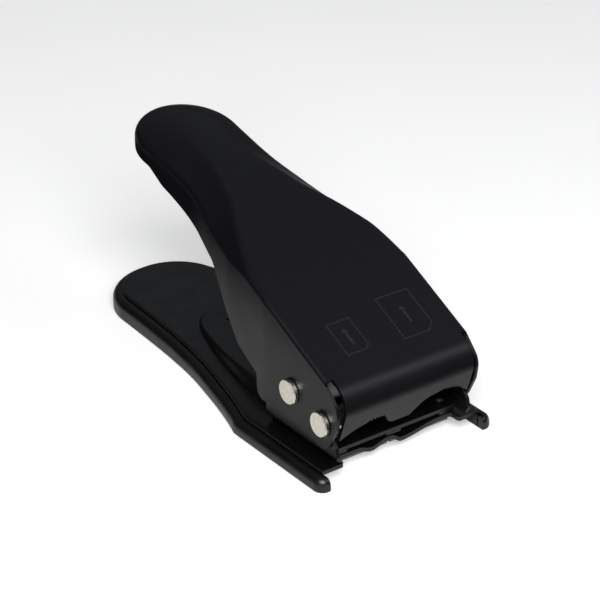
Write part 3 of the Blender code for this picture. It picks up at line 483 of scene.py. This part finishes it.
# The ears' fronts start just ahead of the notch and are cut, like the skirts, from a larger blank.
ear_round, ear_lead, ear_blank, skirt_blank = 0.008, 0.0003, 0.0083, 0.042
skirt_edge_shares = (  # along the lever, up to the notch's height, and round, each as a share
    (-0.0085, 0.773, 0.75), (-0.0012, 0.57, 1), (0.0343, 0.274, 0.60), (0.156, 0.434, 1.5),
    (0.302, 0.369, 0.44), (0.305, 0.611, 0.19), (0.388, 0.760, 1), (0.526, 1.363, 1),
    (0.793, 1.696, 1.25), (0.847, 1.829, 0.75), (1.05, 1.985, 0),
)
pin_hole, pin_places = 0.0028, ((0.0065, 0.0191), (0.0223, 0.0231))


def top_height(y):
    """Height of the middle of the top, straight at first and then bending over towards the tip."""
    if y <= bend_start:
        return notch_z + (y - notch_y) * math.tan(lever_slope)
    start = notch_z + (bend_start - notch_y) * math.tan(lever_slope)
    bend = (lever_slope - tip_slope) / (lever_end - bend_start)
    angle = lever_slope - bend * (y - bend_start)
    return start + (math.log(math.cos(angle)) - math.log(math.cos(lever_slope))) / bend


def lever_outline():
    """Right half of the lever's edge in plan, from the notch line round to the grip's end."""
    tip_middle = lever_end - tip_radius
    front_steps, grip_steps = 6, 72
    front = neck_start - notch_y
    points = [(lever_half_width, notch_y + front * i / front_steps) for i in range(front_steps)]
    for i in range(grip_steps):
        place = i / grip_steps
        width = tip_radius + (lever_half_width - tip_radius) * curve_at(grip_width_shares, place)
        points.append((width, neck_start + (tip_middle - neck_start) * place))
    return points + arc((0, tip_middle), tip_radius, 0, math.pi / 2, 30)


def lever_row(point, normal):
    """From the middle of the top out over the shoulder and the fold, and down to the blank's edge."""
    point = Vector(point)
    tip_middle = lever_end - tip_radius
    place = (point.y - neck_start) / (lever_end - neck_start)
    drop = shoulder_drop * curve_at(shoulder_shares, place)
    apron_share = apron_half_width / (lever_half_width - fold_radius) - crease_share
    crease = curve_at(((0, apron_share),) + crease_shares, place)
    crown = ease(place, *crown_shares)
    radius = fold_radius + (grip_fold_radius - fold_radius) * ease(place, *fold_soften_shares)
    spine = Vector((0, min(point.y, tip_middle) + fan_share * max(point.y - tip_middle, 0)))
    run = (point - spine).length - radius
    lean = math.atan(drop * ((1 - crown) / (1 - crease) + 2 * crown) / run)
    inner = point + normal * (radius * (1 - math.sin(lean)))
    edge = crease + crease_share
    top_steps, shoulder_steps, fold_steps, skirt_steps = 26, 10, 10, 4
    shares = [edge * i / top_steps for i in range(top_steps)]
    shares += [edge + (1 - edge) * i / shoulder_steps for i in range(shoulder_steps + 1)]
    row = []
    for share in shares:
        here = spine + (inner - spine) * share
        blend = min(crease_blend_share, 1 - crease)
        beyond = min(max((share - crease + blend) / (2 * blend), 0), 1)
        past = beyond * beyond * blend if beyond < 1 else share - crease
        fall = (1 - crown) * past / (1 - crease) + crown * share * share
        row.append((here.x, here.y, top_height(here.y) - drop * fall))
    fold_z = row[-1][2] - radius * math.cos(lean)
    for i in range(1, fold_steps + 1):
        angle = (math.pi / 2 - lean) * (1 - i / fold_steps)
        here = point + normal * (radius * (1 - math.cos(angle)))
        row.append((here.x, here.y, fold_z + radius * math.sin(angle)))
    skirt = [(point.x, point.y, fold_z - skirt_blank * i / skirt_steps) for i in range(1, skirt_steps + 1)]
    return row + skirt


def nose_profile():
    """Side view of the outer face from the notch round the curl to the apron's lower edge."""
    along = Vector((math.cos(lever_slope), math.sin(lever_slope)))
    down = Vector((math.sin(apron_lean), -math.cos(apron_lean)))
    corner = Vector((notch_y, notch_z)) - along * curl_corner
    end = corner + down * (curl_radius / math.tan(along.angle(down) / 2))
    middle = end + Vector((math.cos(apron_lean), math.sin(apron_lean))) * curl_radius
    return arc(middle, curl_radius, math.pi / 2 + lever_slope, math.pi + apron_lean, 28) + [
        tuple(corner + down * apron_depth)
    ]


def lever_sheet_face():
    """The outer face of the sheet: top and skirts, the curled nose and the blanks for the ears' fronts."""
    face = bmesh.new()
    outline = lever_outline()
    rows = []
    for point, normal in zip(outline, inward_normals(outline)):
        right = lever_row(point, normal)
        left = [(-x, y, z) for x, y, z in reversed(right[1:])]
        rows.append([face.verts.new(place) for place in left + right])
    for near, far in zip(rows, rows[1:]):
        for j in range(len(near) - 1):
            face.faces.new((near[j], near[j + 1], far[j + 1], far[j]))
    first = rows[0]
    tolerance = 0.0001
    row = [vert for vert in first if abs(vert.co.x) <= apron_half_width + tolerance]
    for y, z in nose_profile():
        new = [face.verts.new((vert.co.x, y, z)) for vert in row]
        for j in range(len(row) - 1):
            face.faces.new((new[j], new[j + 1], row[j + 1], row[j]))
        row = new
    for here, beside in zip(first, first[1:]):
        if here.co.x == beside.co.x:
            ahead = [face.verts.new((v.co.x, v.co.y - ear_blank, v.co.z)) for v in (here, beside)]
            face.faces.new((ahead[0], ahead[1], beside, here))
    bmesh.ops.remove_doubles(face, verts=face.verts, dist=0.00001)
    return face


def skirt_cutter():
    """What lies in front of the ears and below the ears and skirts, but for the apron's width."""
    start = notch_y - ear_lead
    corners = [(start, notch_z + overrun, 0), (start, notch_z - fold_radius, fold_radius / 2)]
    corners += [(lever_end * along, notch_z * up, ear_round * turn) for along, up, turn in skirt_edge_shares]
    edge = rounded(corners)
    ahead, below = start - 3 * curl_radius, -2 * overrun
    far = lever_half_width + overrun
    cutter = prism([(ahead, edge[0][1])] + edge + [(edge[-1][0], below), (ahead, below)], "X", -far, far)
    between = (apron_half_width + lever_half_width - lever_sheet) / 2
    front = ahead - overrun
    sides = ((-between, front), (between, front), (between, bend_start), (-between, bend_start))
    room = prism(sides, "Z", below - overrun, notch_z + 2 * overrun)
    keep = cutter.modifiers.new("apron_room", "BOOLEAN")
    keep.object = room
    keep.solver = "EXACT"
    return cutter


def arch_cutter(left, right, heights):
    """An arch in the apron's lower edge, with a run of small teeth along its top."""
    lower = nose_profile()[-1][1]
    steps = round((right - left) * 4 / tooth_pitch)
    points = [(left, lower - overrun)]
    for i in range(steps + 1):
        share = i / steps
        tooth = tooth_depth * (1 - abs(i % 4 / 2 - 1)) if teeth_start < share < teeth_end else 0
        points.append((left + (right - left) * share, lower + curve_at(heights, share) + tooth))
    points.append((right, lower - overrun))
    return prism(points, "Y", -2 * overrun, pin_places[0][0])


# Satin powder coat: a deep black with a slight blue cast, finely pebbled by the melted powder, so the light
# lies on it in broad soft bands without a mirror image.
powder_cloud, powder_gloss_patch = 0.004, 0.006
pebble = 0.0007  # coarser than the real pebbling of about 0.3 mm, so that it shows
powder, points = surface("satin_black_powder_coat")
clouds = add_node(powder, "ShaderNodeTexNoise", {"Scale": 1 / powder_cloud}, {"Vector": points})
stops = ((0.3, "#07070c"), (0.7, "#09090f"))
colour = add_node(powder, "ShaderNodeValToRGB", {"stops": stops}, {"Fac": clouds})
patches = add_node(powder, "ShaderNodeTexNoise", {"Scale": 1 / powder_gloss_patch}, {"Vector": points})
limits = {**middle_noise, "To Min": 0.39, "To Max": 0.42}
gloss = add_node(powder, "ShaderNodeMapRange", limits, {"Value": patches})
pebbles = add_node(powder, "ShaderNodeTexNoise", {"Scale": 1 / pebble}, {"Vector": points})
relief = add_node(powder, "ShaderNodeBump", {"Distance": 0.000012}, {"Height": pebbles})
look = {"Base Color": colour, "Roughness": gloss, "Normal": relief}
shader = add_node(powder, "ShaderNodeBsdfPrincipled", {"IOR": 1.45}, look)
add_node(powder, "ShaderNodeOutputMaterial", links={"Surface": shader})

lever = piece_from("lever_stamping", lever_sheet_face(), powder)
gauge = lever.modifiers.new("gauge", "SOLIDIFY")
gauge.thickness = lever_sheet
gauge.offset = -1
gauge.use_even_offset = True
far = lever_half_width + overrun
cutters = [skirt_cutter()] + [arch_cutter(*arch) for arch in arches]
for place in pin_places:
    cutters.append(prism(arc(place, pin_hole, 0, math.tau, 48)[:-1], "X", -far, far))
cut_all(lever, cutters)
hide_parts("lever_shell")
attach(lever, "lever")


# Pins, spacers and posts
# Turned steel, nickel plated. Both pins run right across the lever, and their flat heads stand out of its
# ears; the spacers, the sleeve, the springs' posts and the punches' dowels are out of sight inside.

# Nickel plate over turned steel: bright and a little warm, and softly uneven, because the tool marks were
# tumbled off before plating.
nickel_cloud, nickel_gloss_patch = 0.0016, 0.0011
tumbling_mark = 0.0006  # coarser than the real marks of about 0.1 mm, so that they show
nickel, points = surface("nickel_plated_turned_steel")
clouds = add_node(nickel, "ShaderNodeTexNoise", {"Scale": 1 / nickel_cloud}, {"Vector": points})
stops = ((0.3, "#e6dfd0"), (0.7, "#f2ecdf"))
colour = add_node(nickel, "ShaderNodeValToRGB", {"stops": stops}, {"Fac": clouds})
patches = add_node(nickel, "ShaderNodeTexNoise", {"Scale": 1 / nickel_gloss_patch}, {"Vector": points})
limits = {**middle_noise, "To Min": 0.25, "To Max": 0.32}
gloss = add_node(nickel, "ShaderNodeMapRange", limits, {"Value": patches})
dents = add_node(nickel, "ShaderNodeTexNoise", {"Scale": 1 / tumbling_mark}, {"Vector": points})
relief = add_node(nickel, "ShaderNodeBump", {"Distance": 0.0000015}, {"Height": dents})
look = {"Base Color": colour, "Roughness": gloss, "Normal": relief}
shader = add_node(nickel, "ShaderNodeBsdfPrincipled", {"Metallic": 1.0}, look)
add_node(nickel, "ShaderNodeOutputMaterial", links={"Surface": shader})
dress(
    nickel,
    "pivot_pin", "drive_pin", "pivot_sleeve", "drive_spacer_left", "drive_spacer_right",
    "spring_post_left", "spring_post_right",
    "nano_punch_dowel", "micro_punch_dowel",
)


# Return springs
# Two compression springs coiled from round wire, then zinc plated. Each stands round a post on the frame's
# floor, reaches up into a pocket of the punch holder, and gets shorter as the press goes down.

spring_wire, spring_radius, spring_turns, spring_travel = 0.0005, 0.0016, 5, 0.0031

# Zinc over drawn spring wire: a cool bright grey with the fine frosting that the plating bath leaves.
zinc_cloud = 0.0008
frosting = 0.0003  # coarser than the real crystals of about 0.02 mm, so that it shows
zinc, points = surface("zinc_plated_spring_wire")
clouds = add_node(zinc, "ShaderNodeTexNoise", {"Scale": 1 / zinc_cloud}, {"Vector": points})
stops = ((0.3, "#b4b7ba"), (0.7, "#cdd0d2"))
colour = add_node(zinc, "ShaderNodeValToRGB", {"stops": stops}, {"Fac": clouds})
crystals = add_node(zinc, "ShaderNodeTexNoise", {"Scale": 1 / frosting}, {"Vector": points})
relief = add_node(zinc, "ShaderNodeBump", {"Distance": 0.000004}, {"Height": crystals})
look = {"Base Color": colour, "Normal": relief}
shader = add_node(zinc, "ShaderNodeBsdfPrincipled", {"Metallic": 1.0, "Roughness": 0.3}, look)
add_node(zinc, "ShaderNodeOutputMaterial", links={"Surface": shader})

per_turn, wire_sides = 32, 10
wire = arc((0, 0), spring_wire / 2, 0, math.tau, wire_sides)[:-1]
steps = spring_turns * per_turn
for side in ("left", "right"):
    low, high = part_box("return_spring_" + side)
    middle, length = (low + high) / 2, high.z - low.z
    rings = []
    for i in range(steps + 1):
        angle = math.tau * i / per_turn
        outward = Vector((math.cos(angle), math.sin(angle), 0))
        rise = low.z + spring_wire / 2 + (length - spring_wire) * i / steps
        centre = Vector((middle.x, middle.y - front_line, rise)) + outward * spring_radius
        rings.append([centre + outward * u + Vector((0, 0, v)) for u, v in wire])
    spring = loft(rings, zinc, "spring_coil_" + side)
    smooth(spring, 80)
    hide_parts("return_spring_" + side)
    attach(spring, "base")
    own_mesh(spring)


# Frame screws
# Four machine screws of alloy steel, blackened in a hot oxide bath after heading. They hold the punch frame
# and the card guide down on the base plate, two at each side of the press.

# Black oxide on headed steel: a thin matt black with a brown cast in it, a little uneven where it took less.
oxide_cloud, oxide_gloss_patch = 0.0015, 0.001
oxide_pit = 0.0004  # coarser than the real pitting of about 0.05 mm, so that it shows
oxide, points = surface("black_oxide_on_headed_steel")
clouds = add_node(oxide, "ShaderNodeTexNoise", {"Scale": 1 / oxide_cloud}, {"Vector": points})
stops = ((0.3, "#2b2927"), (0.7, "#3a3734"))
colour = add_node(oxide, "ShaderNodeValToRGB", {"stops": stops}, {"Fac": clouds})
patches = add_node(oxide, "ShaderNodeTexNoise", {"Scale": 1 / oxide_gloss_patch}, {"Vector": points})
limits = {**middle_noise, "To Min": 0.38, "To Max": 0.55}
gloss = add_node(oxide, "ShaderNodeMapRange", limits, {"Value": patches})
pits = add_node(oxide, "ShaderNodeTexNoise", {"Scale": 1 / oxide_pit}, {"Vector": points})
relief = add_node(oxide, "ShaderNodeBump", {"Distance": 0.000005}, {"Height": pits})
look = {"Base Color": colour, "Roughness": gloss, "Normal": relief}
shader = add_node(oxide, "ShaderNodeBsdfPrincipled", {"Metallic": 1.0}, look)
add_node(oxide, "ShaderNodeOutputMaterial", links={"Surface": shader})
dress(
    oxide,
    "frame_screw_front_left", "frame_screw_front_right", "frame_screw_rear_left", "frame_screw_rear_right",
)


# Card outlines
# Two pad-printed pictograms on the lever's top, a nano card on the left and a micro card on the right, each
# with its cut corner and an arrow towards the grip. The ink is a thin grey film that barely shows.

# Pad-printing ink over powder coat: dull and a shade lighter than the coat, thinner where the pad lifted.
ink_cloud = 0.0009
ink, points = surface("grey_pad_printing_ink")
clouds = add_node(ink, "ShaderNodeTexNoise", {"Scale": 1 / ink_cloud}, {"Vector": points})
cover = add_node(ink, "ShaderNodeMapRange", {**middle_noise, "To Min": 0, "To Max": 1}, {"Value": clouds})
stops = ((0, "#1d1d22"), (1, "#2a2a31"))
colour = add_node(ink, "ShaderNodeValToRGB", {"stops": stops}, {"Fac": cover})
relief = add_node(ink, "ShaderNodeBump", {"Distance": 0.000006}, {"Height": cover})
dull = {"Roughness": 0.6, "IOR": 1.5, "Specular IOR Level": 0.2}
look = {"Base Color": colour, "Normal": relief}
shader = add_node(ink, "ShaderNodeBsdfPrincipled", dull, look)
add_node(ink, "ShaderNodeOutputMaterial", links={"Surface": shader})

notch = Vector((0, front_line + notch_y, notch_z))
uphill = Vector((0, math.cos(lever_slope), math.sin(lever_slope)))
outward = Vector((0, -math.sin(lever_slope), math.cos(lever_slope)))
film, line_width = 0.00004, 0.00050
marks = {  # left side, upper edge along the slope, width, length, cut corner
    "nano_card_mark": (-0.0150, 0.0185, 0.0092, 0.0128, 0.0017),
    "micro_card_mark": (0.0060, 0.0215, 0.0128, 0.0172, 0.0028),
}
arrow_reach, arrow_neck, arrow_shaft, arrow_head = 0.0034, 0.0017, 0.00050, 0.00135
arrow = [(arrow_shaft, -arrow_reach), (arrow_shaft, arrow_neck), (arrow_head, arrow_neck), (0, arrow_reach)]
arrow += [(-x, s) for x, s in arrow[-2::-1]]


def on_top(across, along, lift):
    """A place on the flat of the lever's top."""
    return Vector((across, 0, 0)) + notch + uphill * along + outward * lift


def film_of_ink(mesh, rim, hole=None):
    """A thin closed film inside a rim, or between a rim and a hole of as many points."""
    rings = []
    for outline in (rim, hole) if hole else (rim,):
        low = [mesh.verts.new(on_top(x, s, -film)) for x, s in outline]
        high = [mesh.verts.new(on_top(x, s, film)) for x, s in outline]
        rings.append((low, high))
    count = len(rim)
    for ring, (low, high) in enumerate(rings):
        for i in range(count):
            j = (i + 1) % count
            side = (low[i], low[j], high[j], high[i])
            mesh.faces.new(side if ring == 0 else side[::-1])
    low, high = rings[0]
    if hole:
        in_low, in_high = rings[1]
        for i in range(count):
            j = (i + 1) % count
            mesh.faces.new((high[i], high[j], in_high[j], in_high[i]))
            mesh.faces.new((low[j], low[i], in_low[i], in_low[j]))
    else:
        mesh.faces.new(high)
        mesh.faces.new(low[::-1])


def card_rim(left, upper, width, length, corner, inset):
    """Outline of a card with one cut corner at the front right, pulled in by inset."""
    right, lower = left + width, upper - length
    left, right, lower, upper = left + inset, right - inset, lower + inset, upper - inset
    corner -= inset * (2 - math.sqrt(2))
    return [(left, lower), (right - corner, lower), (right, lower + corner), (right, upper), (left, upper)]


for name, (left, upper, width, length, corner) in marks.items():
    mesh = bmesh.new()
    rim = card_rim(left, upper, width, length, corner, 0)
    film_of_ink(mesh, rim, card_rim(left, upper, width, length, corner, line_width))
    middle, centre = left + width / 2, upper - length / 2
    film_of_ink(mesh, [(middle + x, centre + s) for x, s in arrow])
    bmesh.ops.recalc_face_normals(mesh, faces=mesh.faces)
    data = bpy.data.meshes.new(name)
    mesh.to_mesh(data)
    mesh.free()
    data.materials.append(ink)
    mark = bpy.data.objects.new(name, data)
    bpy.context.collection.objects.link(mark)
    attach(mark, "lever")


# Studio
# A wide white table in a dim room, lit by a broad soft lamp beside the camera, a smaller one at the front
# right and another above the left side. Nothing here belongs to the cutter.

# Matt laminate: an even off-white. What the camera sees of it is lifted to white, but not what it lights.
laminate_cloud, seen_lift = 0.05, 0.38
table, points = surface("matt_white_laminate")
clouds = add_node(table, "ShaderNodeTexNoise", {"Scale": 1 / laminate_cloud}, {"Vector": points})
stops = ((0.3, "#f7f7f6"), (0.7, "#fafafa"))
colour = add_node(table, "ShaderNodeValToRGB", {"stops": stops}, {"Fac": clouds})
matt = {"Roughness": 0.7, "Specular IOR Level": 0.2}
shader = add_node(table, "ShaderNodeBsdfPrincipled", matt, {"Base Color": colour})
camera_ray = add_node(table, "ShaderNodeLightPath").outputs["Is Camera Ray"]
white = add_node(table, "ShaderNodeEmission", {"Color": linear("#ffffff"), "Strength": seen_lift})
seen_white = add_node(table, "ShaderNodeMixShader", links={"Fac": camera_ray, 2: white})
lifted = add_node(table, "ShaderNodeAddShader", links={0: shader, 1: seen_white})
add_node(table, "ShaderNodeOutputMaterial", links={"Surface": lifted})

bpy.ops.mesh.primitive_circle_add(vertices=96, radius=3.0, fill_type="NGON", location=(0, 0, -0.0002))
floor = bpy.context.object
floor.name = "floor"
floor.data.materials.append(table)
floor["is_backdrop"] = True

# The room: dark near the horizon and on the left, brighter up on the right, and a little blue.
left_level, right_level, horizon_share = 0.02, 0.19, 0.05
side_range, height_range = {"From Min": -0.5, "From Max": 0.5}, {"From Min": 0.12, "From Max": 0.42}
world = bpy.data.worlds.new("dim_room")
bpy.context.scene.world = world
world.use_nodes = True
world.node_tree.nodes.clear()
way = add_node(world, "ShaderNodeTexCoord").outputs["Generated"]
parts = add_node(world, "ShaderNodeSeparateXYZ", links={"Vector": way})
levels = {**side_range, "To Min": left_level, "To Max": right_level}
level = add_node(world, "ShaderNodeMapRange", levels, {"Value": parts.outputs["X"]})
shares = {**height_range, "To Min": horizon_share, "To Max": 1.0}
share = add_node(world, "ShaderNodeMapRange", shares, {"Value": parts.outputs["Z"]})
both = add_node(world, "ShaderNodeMath", {"operation": "MULTIPLY"}, {0: level, 1: share})
room = add_node(world, "ShaderNodeBackground", {"Color": linear("#f3f8ff")}, {"Strength": both})
add_node(world, "ShaderNodeOutputWorld", links={"Surface": room})

aim = Vector((0, -0.01, 0.03))
for name, place, size, power in (  # metres and watts
    ("front_lamp", (-0.45, -0.75, 0.75), 0.7, 13.5),
    ("key_lamp", (0.46, -0.50, 0.66), 0.34, 0.7),
    ("side_lamp", (-0.75, -0.05, 0.80), 0.5, 0.4),
):
    lamp = bpy.data.lights.new(name, "AREA")
    lamp.size = size
    lamp.energy = power
    lamp_object = bpy.data.objects.new(name, lamp)
    lamp_object.location = place
    lamp_object.rotation_euler = (Vector(place) - aim).to_track_quat("Z", "Y").to_euler()
    bpy.context.collection.objects.link(lamp_object)

# Two black flags lie on the table out of the camera's sight. The one at the front right gives the curled nose
# its dark band, and the one at the back left darkens the skirt towards the neck.
velvet_cloud = 0.02
velvet, points = surface("black_velvet")
clouds = add_node(velvet, "ShaderNodeTexNoise", {"Scale": 1 / velvet_cloud}, {"Vector": points})
stops = ((0.3, "#040404"), (0.7, "#080808"))
colour = add_node(velvet, "ShaderNodeValToRGB", {"stops": stops}, {"Fac": clouds})
matt = {"Roughness": 0.95, "Specular IOR Level": 0.1}
shader = add_node(velvet, "ShaderNodeBsdfPrincipled", matt, {"Base Color": colour})
add_node(velvet, "ShaderNodeOutputMaterial", links={"Surface": shader})
for name, place, size, turn in (  # size along and across, and turn about the vertical
    ("front_flag", (0.10, -0.245, 0.001), (0.50, 0.30), 0),
    ("back_flag", (-0.183, 0.1375, 0.001), (0.30, 0.40), math.radians(-40.6)),
):
    bpy.ops.mesh.primitive_plane_add(size=1.0, location=place)
    flag = bpy.context.object
    flag.name = name
    flag.scale = (*size, 1)
    flag.rotation_euler = (0, 0, turn)
    flag.visible_camera = False
    flag.visible_diffuse = False
    flag.visible_shadow = False
    flag.data.materials.append(velvet)
    flag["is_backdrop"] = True

# The camera was fitted to the outlines in the photograph.
camera_turn, camera_tilt = math.radians(-36.5246), math.radians(27.8097)
camera = bpy.data.objects.new("camera", bpy.data.cameras.new("camera"))
camera.data.sensor_width = 36
camera.data.lens = 144
camera.location = (-0.401876, -0.561102, 0.388566)
camera.rotation_euler = (math.pi / 2 - camera_tilt, 0, camera_turn)
bpy.context.collection.objects.link(camera)
bpy.context.scene.camera = camera
bpy.context.scene.view_settings.view_transform = "Standard"

low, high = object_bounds()
